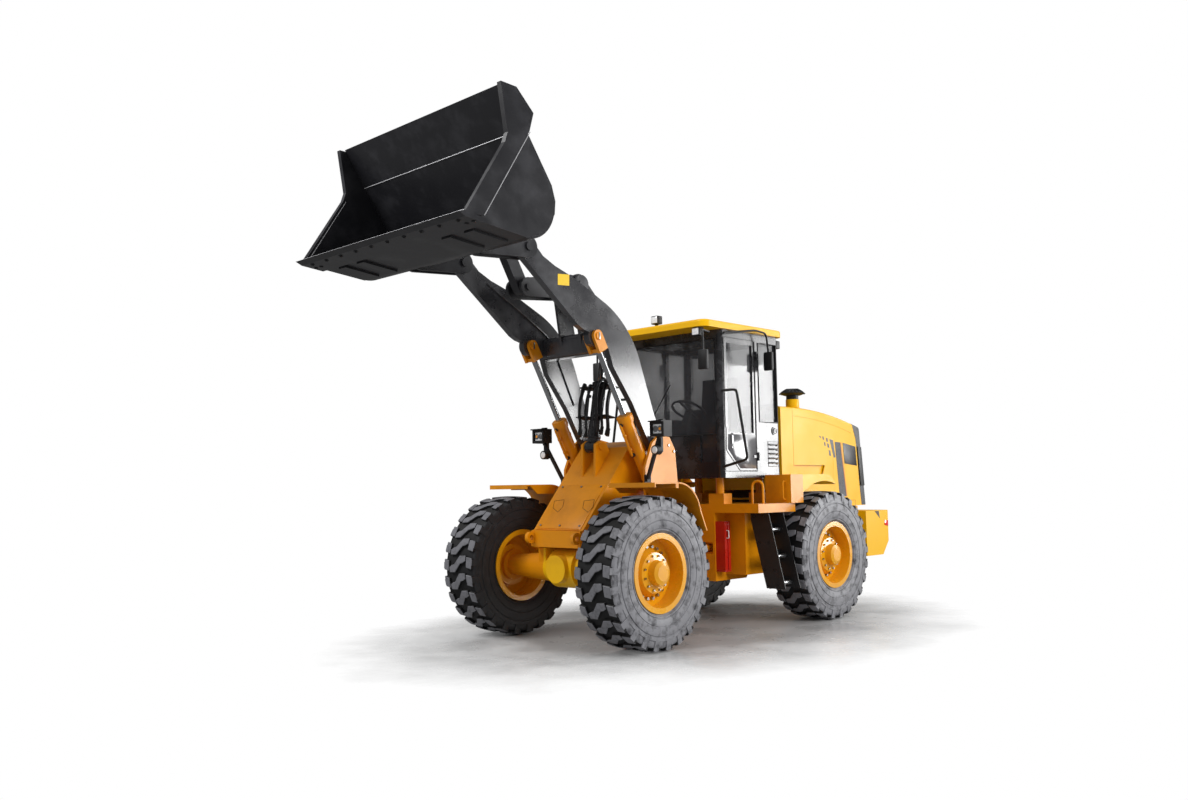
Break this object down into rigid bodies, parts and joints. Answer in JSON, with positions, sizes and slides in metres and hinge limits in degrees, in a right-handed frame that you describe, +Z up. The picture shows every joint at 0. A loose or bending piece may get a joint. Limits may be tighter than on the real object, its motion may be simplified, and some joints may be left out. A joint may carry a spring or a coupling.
{
  "type": "wheel loader",
  "caption": "Articulated wheel loader with raised bucket arms, a tilting general purpose bucket, enclosed cab, rear engine hood and large earthmover tyres.",
  "frame": {"origin": "on the ground below the middle of the machine's bounding box", "axes": "+X forward towards the bucket, +Y to the machine's left, +Z up"},
  "size_m": [6.842, 2.356, 4.6645],
  "materials": {
    "frame_yellow": "satin amber yellow paint",
    "hood_yellow": "gloss warm yellow paint",
    "arm_black": "satin charcoal paint",
    "cab_black": "satin black paint",
    "trim_black": "matt black plastic",
    "chrome_rod": "polished chrome",
    "tread_rubber": "matt black tyre rubber",
    "window_glass": "clear tinted glass",
    "tail_red": "red and amber lens",
    "seat_vinyl": "dark woven cover",
    "engine_grey": "painted castings",
    "stop_red": "gloss red paint",
    "weight_yellow": "gloss warm yellow paint over cast iron",
    "axle_yellow": "satin amber yellow paint over castings"
  },
  "bodies": {
    "rear": {"rear_frame": "frame_yellow", "counterweight": "weight_yellow", "engine_block": "engine_grey", "rear_axle": "axle_yellow", "cab_shell": "cab_black", "cab_roof": "hood_yellow", "cab_glass": "window_glass", "operator_seat": "seat_vinyl", "cab_controls": "trim_black", "side_decks": "frame_yellow", "side_tanks": "frame_yellow", "steps_and_rails": "cab_black", "tool_boxes": "frame_yellow", "lock_bar": "stop_red", "hood_bulkhead": "hood_yellow", "rear_fenders": "hood_yellow"},
    "front": {"front_frame": "frame_yellow", "front_axle": "axle_yellow", "front_fenders": "frame_yellow", "head_lamps": "trim_black"},
    "hood": {"hood_shell": "hood_yellow", "rear_grille": "trim_black", "tail_lamps": "tail_red", "pre_cleaner": "trim_black"},
    "door": {"cab_door": "cab_black", "door_glass": "window_glass"},
    "boom": {"boom": "arm_black"},
    "bellcrank": {"bellcrank": "arm_black"},
    "tilt_link": {"tilt_link": "arm_black"},
    "bucket": {"bucket": "arm_black"},
    "tilt_barrel": {"tilt_barrel": "cab_black"},
    "tilt_rod": {"tilt_rod": "chrome_rod"},
    "lift_barrel_left": {"lift_barrel_left": "frame_yellow"},
    "lift_rod_left": {"lift_rod_left": "chrome_rod"},
    "steer_barrel_left": {"steer_barrel_left": "frame_yellow"},
    "steer_rod_left": {"steer_rod_left": "chrome_rod"},
    "lift_barrel_right": {"lift_barrel_right": "frame_yellow"},
    "lift_rod_right": {"lift_rod_right": "chrome_rod"},
    "steer_barrel_right": {"steer_barrel_right": "frame_yellow"},
    "steer_rod_right": {"steer_rod_right": "chrome_rod"},
    "wheel_front_left": {"tyre_front_left": "tread_rubber", "rim_front_left": "axle_yellow"},
    "wheel_front_right": {"tyre_front_right": "tread_rubber", "rim_front_right": "axle_yellow"},
    "wheel_rear_left": {"tyre_rear_left": "tread_rubber", "rim_rear_left": "axle_yellow"},
    "wheel_rear_right": {"tyre_rear_right": "tread_rubber", "rim_rear_right": "axle_yellow"}
  },
  "joints": [
    {"name": "steering", "type": "hinge", "parent": "rear", "child": "front", "pos_m": [-0.33, 0, 0.825], "axis": [0, 0, 1], "range_deg": [-38, 38]},
    {"name": "boom_lift", "type": "hinge", "parent": "front", "child": "boom", "pos_m": [0.4, 0, 1.86], "axis": [0, -1, 0], "range_deg": [-88, 6]},
    {"name": "bucket_tilt", "type": "hinge", "parent": "boom", "child": "bucket", "pos_m": [2.12, 0, 3.58], "axis": [0, 1, 0], "range_deg": [-85, 50]},
    {"name": "bellcrank_swing", "type": "hinge", "parent": "boom", "child": "bellcrank", "pos_m": [1.09, 0, 3.433], "axis": [0, 1, 0], "range_deg": [-10.18, 17.16]},
    {"name": "link_swing", "type": "hinge", "parent": "bellcrank", "child": "tilt_link", "pos_m": [1.755, 0, 3.325], "axis": [0, 1, 0], "range_deg": [-22.7, 13.44]},
    {"name": "lift_barrel_swing_left", "type": "hinge", "parent": "front", "child": "lift_barrel_left", "pos_m": [0.46, 0.45, 1.45], "axis": [0, -1, 0], "range_deg": [-83.72, 5.89]},
    {"name": "lift_rod_slide_left", "type": "slide", "parent": "lift_barrel_left", "child": "lift_rod_left", "axis": [0.4912, 0, 0.871], "range_m": [-0.5684, 0.0406]},
    {"name": "steer_barrel_swing_left", "type": "hinge", "parent": "rear", "child": "steer_barrel_left", "pos_m": [-0.78, 0.27, 0.8], "axis": [0, 0, 1], "range_deg": [-14.47, 14.47]},
    {"name": "steer_rod_slide_left", "type": "slide", "parent": "steer_barrel_left", "child": "steer_rod_left", "axis": [0.9996, -0.0274, 0], "range_m": [-0.1702, 0.1702]},
    {"name": "lift_barrel_swing_right", "type": "hinge", "parent": "front", "child": "lift_barrel_right", "pos_m": [0.46, -0.45, 1.45], "axis": [0, -1, 0], "range_deg": [-83.72, 5.89]},
    {"name": "lift_rod_slide_right", "type": "slide", "parent": "lift_barrel_right", "child": "lift_rod_right", "axis": [0.4912, 0, 0.871], "range_m": [-0.5684, 0.0406]},
    {"name": "steer_barrel_swing_right", "type": "hinge", "parent": "rear", "child": "steer_barrel_right", "pos_m": [-0.78, -0.27, 0.8], "axis": [0, 0, 1], "range_deg": [-14.47, 14.47]},
    {"name": "steer_rod_slide_right", "type": "slide", "parent": "steer_barrel_right", "child": "steer_rod_right", "axis": [0.9996, 0.0274, 0], "range_m": [-0.1702, 0.1702]},
    {"name": "tilt_barrel_swing", "type": "hinge", "parent": "front", "child": "tilt_barrel", "pos_m": [0.821, 0, 1.855], "axis": [0, -1, 0], "range_deg": [-106.46, 7.45]},
    {"name": "tilt_rod_slide", "type": "slide", "parent": "tilt_barrel", "child": "tilt_rod", "axis": [-0.1819, 0, 0.9833], "range_m": [-0.4628, 0.0334]},
    {"name": "hood_lid", "type": "hinge", "parent": "rear", "child": "hood", "pos_m": [-3.39, 0, 1.16], "axis": [0, -1, 0], "range_deg": [0, 60]},
    {"name": "door_swing", "type": "hinge", "parent": "rear", "child": "door", "pos_m": [-1.045, 0.665, 2.3], "axis": [0, 0, 1], "range_deg": [0, 90]},
    {"name": "wheel_front_left", "type": "hinge", "parent": "front", "child": "wheel_front_left", "pos_m": [1.12, 0.915, 0.69], "axis": [0, 1, 0], "continuous": true},
    {"name": "wheel_front_right", "type": "hinge", "parent": "front", "child": "wheel_front_right", "pos_m": [1.12, -0.915, 0.69], "axis": [0, 1, 0], "continuous": true},
    {"name": "wheel_rear_left", "type": "hinge", "parent": "rear", "child": "wheel_rear_left", "pos_m": [-1.78, 0.915, 0.69], "axis": [0, 1, 0], "continuous": true},
    {"name": "wheel_rear_right", "type": "hinge", "parent": "rear", "child": "wheel_rear_right", "pos_m": [-1.78, -0.915, 0.69], "axis": [0, 1, 0], "continuous": true}
  ],
  "couplings": [
    {"joint": "bellcrank_swing", "follows": "bucket_tilt", "ratio": -0.1995},
    {"joint": "link_swing", "follows": "bucket_tilt", "ratio": 0.2647},
    {"joint": "lift_barrel_swing_left", "follows": "boom_lift", "ratio": 0.9491},
    {"joint": "lift_rod_slide_left", "follows": "boom_lift", "m_per_rad": 0.3688},
    {"joint": "steer_barrel_swing_left", "follows": "steering", "ratio": 0.3755},
    {"joint": "steer_rod_slide_left", "follows": "steering", "m_per_rad": -0.2536},
    {"joint": "lift_barrel_swing_right", "follows": "boom_lift", "ratio": 0.9491},
    {"joint": "lift_rod_slide_right", "follows": "boom_lift", "m_per_rad": 0.3688},
    {"joint": "steer_barrel_swing_right", "follows": "steering", "ratio": 0.3755},
    {"joint": "steer_rod_slide_right", "follows": "steering", "m_per_rad": 0.2536},
    {"joint": "tilt_barrel_swing", "follows": "boom_lift", "ratio": 1.2075},
    {"joint": "tilt_rod_slide", "follows": "boom_lift", "m_per_rad": 0.3}
  ]
}
